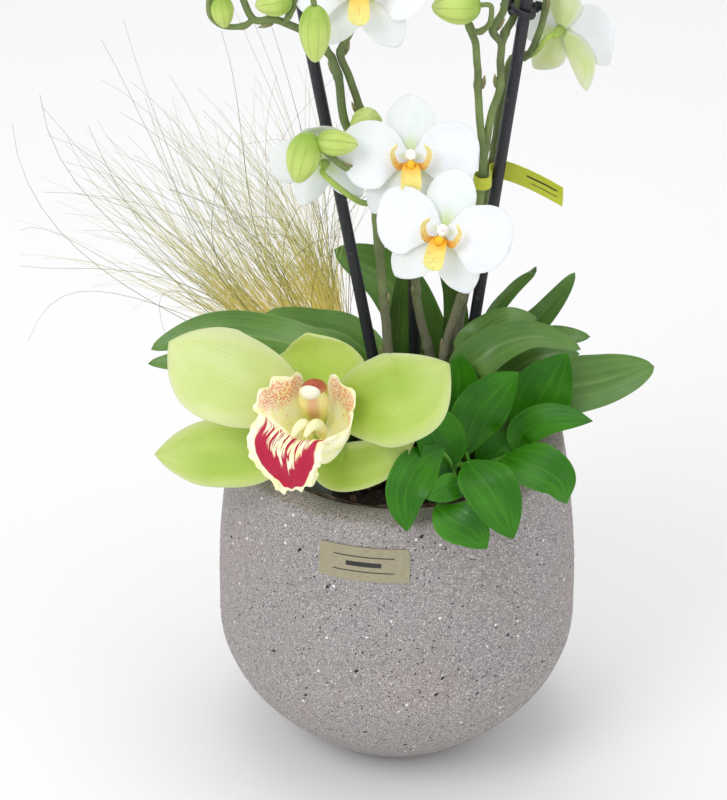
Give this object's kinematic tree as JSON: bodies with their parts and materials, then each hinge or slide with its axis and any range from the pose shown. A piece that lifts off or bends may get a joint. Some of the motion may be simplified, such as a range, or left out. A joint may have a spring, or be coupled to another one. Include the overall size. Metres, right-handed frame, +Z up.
{
  "type": "potted orchid",
  "caption": "Moth orchids on staked spikes with a green cymbidium bloom, ruscus leaves and feather grass in a rounded speckled stone-look pot.",
  "frame": {"origin": "middle of the pot's foot, on the surface that the pot stands on", "axes": "+Z up, the front with the label and the cut bloom faces -Y, +X to the right"},
  "size_m": [0.2781, 0.1693, 0.4501],
  "materials": {
    "pot_stone": "speckled grey-brown stone composite, matt",
    "liner_film": "thin brownish film",
    "soil_mix": "dark moist potting mix",
    "label_metal": "brushed champagne foil, no lettering",
    "black_plastic": "satin black",
    "tag_plastic": "lime card, no lettering",
    "tube_clear": "clear water vial",
    "ruscus_leaf": "glossy mid green leaf",
    "strap_leaf": "thick olive green leaf",
    "spike_stem": "olive green stem with lime buds",
    "white_petal": "white petal with yellow lip",
    "lip_spotted": "cream lip with crimson marks",
    "green_petal": "lime green petal",
    "grass_straw": "straw-coloured hair-thin blades"
  },
  "bodies": {
    "root": {"care_tag": "tag_plastic", "clip_centre": "black_plastic", "clip_left": "black_plastic", "clip_right": "black_plastic", "cymbidium_column": "lip_spotted", "cymbidium_dorsal_sepal": "green_petal", "cymbidium_left_petal": "green_petal", "cymbidium_left_sepal": "green_petal", "cymbidium_lip": "lip_spotted", "cymbidium_right_petal": "green_petal", "cymbidium_right_sepal": "green_petal", "cymbidium_stem": "green_petal", "flower_tube": "tube_clear", "grass_tuft": "grass_straw", "left_leaf_back": "strap_leaf", "left_leaf_front": "strap_leaf", "left_leaf_low": "strap_leaf", "liner": "liner_film", "orchid_flower_left": "white_petal", "orchid_flower_lower": "white_petal", "orchid_flower_middle": "white_petal", "orchid_flower_side": "white_petal", "orchid_flower_top": "white_petal", "orchid_flower_top_left": "white_petal", "orchid_flower_top_right": "white_petal", "orchid_flower_turned": "white_petal", "pot": "pot_stone", "pot_label": "label_metal", "rear_leaf_broad": "strap_leaf", "rear_leaf_right": "strap_leaf", "rear_leaf_slim": "strap_leaf", "right_leaf_arched": "strap_leaf", "right_leaf_long": "strap_leaf", "right_leaf_middle": "strap_leaf", "right_leaf_pointed": "strap_leaf", "right_leaf_under": "strap_leaf", "right_leaf_upper": "strap_leaf", "right_leaf_withered": "strap_leaf", "ruscus_back_left": "ruscus_leaf", "ruscus_back_right": "ruscus_leaf", "ruscus_centre": "ruscus_leaf", "ruscus_front": "ruscus_leaf", "ruscus_inner": "ruscus_leaf", "ruscus_left_cup": "ruscus_leaf", "ruscus_left_tip": "ruscus_leaf", "ruscus_low_slim": "ruscus_leaf", "ruscus_lowest": "ruscus_leaf", "ruscus_rim_right": "ruscus_leaf", "ruscus_twig_front": "ruscus_leaf", "ruscus_twig_middle": "ruscus_leaf", "ruscus_twig_rear": "ruscus_leaf", "ruscus_twisted": "ruscus_leaf", "soil": "soil_mix", "spike_back": "spike_stem", "spike_centre": "spike_stem", "spike_left": "spike_stem", "spike_right": "spike_stem", "stake_centre": "black_plastic", "stake_left": "black_plastic", "stake_right": "black_plastic"}
  },
  "joints": []
}
